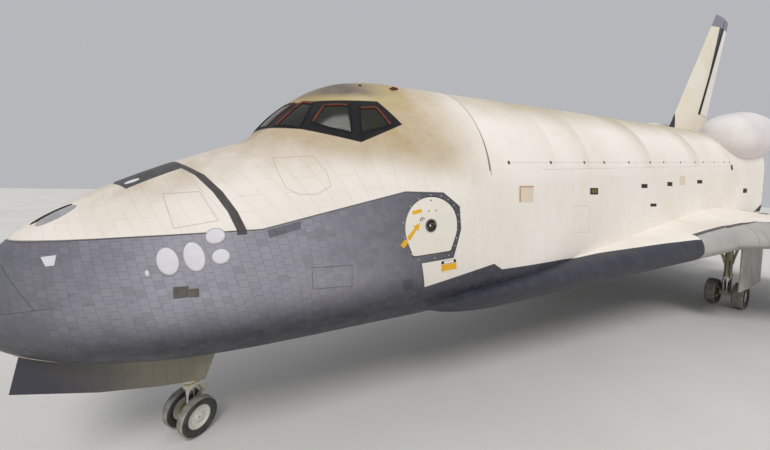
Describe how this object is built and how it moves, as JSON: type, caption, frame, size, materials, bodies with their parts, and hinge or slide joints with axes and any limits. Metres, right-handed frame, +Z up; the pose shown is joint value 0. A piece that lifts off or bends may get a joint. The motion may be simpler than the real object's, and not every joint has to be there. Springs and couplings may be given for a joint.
{
  "type": "spaceplane",
  "caption": "Winged reusable spaceplane standing on extended wheels, with blunt nose, cabin windows, cargo bay doors, delta wings, swept fin and rear engine bells.",
  "frame": {"origin": "centre of the bounding box in plan, at the floor under the tyres", "axes": "+X runs aft from the nose, +Y to starboard and +Z up; the body stands nose down by 3.2 degrees"},
  "size_m": [36.4453, 23.79, 17.3202],
  "materials": {
    "white": "satin",
    "dark_white": "satin",
    "cap": "matt",
    "tile": "matt",
    "edge": "matt",
    "pod": "satin",
    "glass": "polished",
    "interior": "matt",
    "dark": "matt",
    "nozzle": "heat stained",
    "gear": "gloss",
    "chrome": "polished",
    "hub": "gloss",
    "tyre": "worn",
    "door": "satin"
  },
  "bodies": {
    "airframe": {"nose_cap": "cap", "forward_rcs_module": "white", "window_front_port": "glass", "window_front_starboard": "glass", "window_middle_port": "glass", "window_middle_starboard": "glass", "window_side_port": "glass", "window_side_starboard": "glass", "window_rear_port": "glass", "window_rear_starboard": "glass", "forward_fuselage": "white", "flight_deck_floor": "interior", "instrument_panel": "dark", "seat_port": "interior", "seat_starboard": "interior", "mid_fuselage": "white", "leading_edge_starboard": "edge", "leading_edge_port": "edge", "oms_pod_starboard": "pod", "oms_pod_port": "pod", "oms_nozzle_starboard": "nozzle", "oms_nozzle_port": "nozzle", "main_nozzle_upper": "nozzle", "main_nozzle_port": "nozzle", "main_nozzle_starboard": "nozzle", "fin": "white", "aft_fuselage": "white", "nose_gear_leg": "gear", "nose_gear_door_port": "door", "nose_gear_door_starboard": "door", "main_gear_leg_starboard": "gear", "main_gear_leg_port": "gear", "main_gear_strut_starboard": "chrome", "main_gear_strut_port": "chrome", "main_gear_door_starboard": "door", "main_gear_door_port": "door", "wing_starboard": "white", "wing_port": "white"},
    "payload_door_port": {"payload_door_port": "white"},
    "payload_door_starboard": {"payload_door_starboard": "white"},
    "side_hatch": {"side_hatch": "white"},
    "elevon_inboard_port": {"elevon_inboard_port": "dark_white"},
    "elevon_outboard_port": {"elevon_outboard_port": "dark_white"},
    "elevon_inboard_starboard": {"elevon_inboard_starboard": "dark_white"},
    "elevon_outboard_starboard": {"elevon_outboard_starboard": "dark_white"},
    "body_flap": {"body_flap": "tile"},
    "rudder": {"rudder_post": "dark"},
    "speed_brake_port": {"speed_brake_port": "white"},
    "speed_brake_starboard": {"speed_brake_starboard": "white"},
    "nose_steering": {"nose_gear_strut": "chrome"},
    "nose_wheels": {"nose_wheel_hub": "hub", "nose_tyre_port": "tyre", "nose_tyre_starboard": "tyre"},
    "main_wheels_port": {"main_wheel_hub_port": "hub", "main_tyre_inner_port": "tyre", "main_tyre_outer_port": "tyre"},
    "main_wheels_starboard": {"main_wheel_hub_starboard": "hub", "main_tyre_inner_starboard": "tyre", "main_tyre_outer_starboard": "tyre"}
  },
  "joints": [
    {"name": "payload_door_port_hinge", "type": "hinge", "parent": "airframe", "child": "payload_door_port", "pos_m": [-0.35711, -2.632, 6.02945], "axis": [0.9984, 0, 0.0558], "range_deg": [0, 175.5]},
    {"name": "payload_door_starboard_hinge", "type": "hinge", "parent": "airframe", "child": "payload_door_starboard", "pos_m": [-0.35711, 2.632, 6.02945], "axis": [-0.9984, 0, -0.0558], "range_deg": [0, 175.5]},
    {"name": "side_hatch_hinge", "type": "hinge", "parent": "airframe", "child": "side_hatch", "pos_m": [-11.12504, -2.54766, 3.77485], "axis": [0.9984, 0, 0.0558], "range_deg": [0, 90]},
    {"name": "elevon_inboard_port_hinge", "type": "hinge", "parent": "airframe", "child": "elevon_inboard_port", "pos_m": [10.97852, -5, 3.64771], "axis": [0.0032, 0.9984, -0.0564], "range_deg": [-40, 25]},
    {"name": "elevon_outboard_port_hinge", "type": "hinge", "parent": "airframe", "child": "elevon_outboard_port", "pos_m": [10.96588, -9, 3.87375], "axis": [0.0032, 0.9984, -0.0564], "range_deg": [-40, 25]},
    {"name": "elevon_inboard_starboard_hinge", "type": "hinge", "parent": "airframe", "child": "elevon_inboard_starboard", "pos_m": [10.97852, 5, 3.64771], "axis": [-0.0032, 0.9984, 0.0564], "range_deg": [-40, 25]},
    {"name": "elevon_outboard_starboard_hinge", "type": "hinge", "parent": "airframe", "child": "elevon_outboard_starboard", "pos_m": [10.96588, 9, 3.87375], "axis": [-0.0032, 0.9984, 0.0564], "range_deg": [-40, 25]},
    {"name": "body_flap_hinge", "type": "hinge", "parent": "airframe", "child": "body_flap", "pos_m": [14.78541, 0, 3.72013], "axis": [0, 1, 0], "range_deg": [-11.7, 22.5]},
    {"name": "rudder_hinge", "type": "hinge", "parent": "airframe", "child": "rudder", "pos_m": [12.86583, 0, 10.14399], "axis": [0.518, 0, 0.8554], "range_deg": [-27.1, 27.1]},
    {"name": "speed_brake_port_hinge", "type": "hinge", "parent": "rudder", "child": "speed_brake_port", "pos_m": [12.86583, 0, 10.14399], "axis": [-0.518, 0, -0.8554], "range_deg": [0, 43.6]},
    {"name": "speed_brake_starboard_hinge", "type": "hinge", "parent": "rudder", "child": "speed_brake_starboard", "pos_m": [12.86583, 0, 10.14399], "axis": [-0.518, 0, -0.8554], "range_deg": [-43.6, 0]},
    {"name": "nose_steering", "type": "hinge", "parent": "airframe", "child": "nose_steering", "pos_m": [-15.32514, 0, 0.381], "axis": [0, 0, 1], "range_deg": [-75, 15]},
    {"name": "nose_wheels_spin", "type": "hinge", "parent": "nose_steering", "child": "nose_wheels", "pos_m": [-15.32514, 0, 0.381], "axis": [-0.5, 0.866, 0], "continuous": true},
    {"name": "main_wheels_port_spin", "type": "hinge", "parent": "airframe", "child": "main_wheels_port", "pos_m": [5.68134, -3.454, 0.565], "axis": [0, 1, 0], "continuous": true},
    {"name": "main_wheels_starboard_spin", "type": "hinge", "parent": "airframe", "child": "main_wheels_starboard", "pos_m": [5.68134, 3.454, 0.565], "axis": [0, 1, 0], "continuous": true}
  ],
  "couplings": [
    {"joint": "speed_brake_starboard_hinge", "follows": "speed_brake_port_hinge", "ratio": -1}
  ]
}
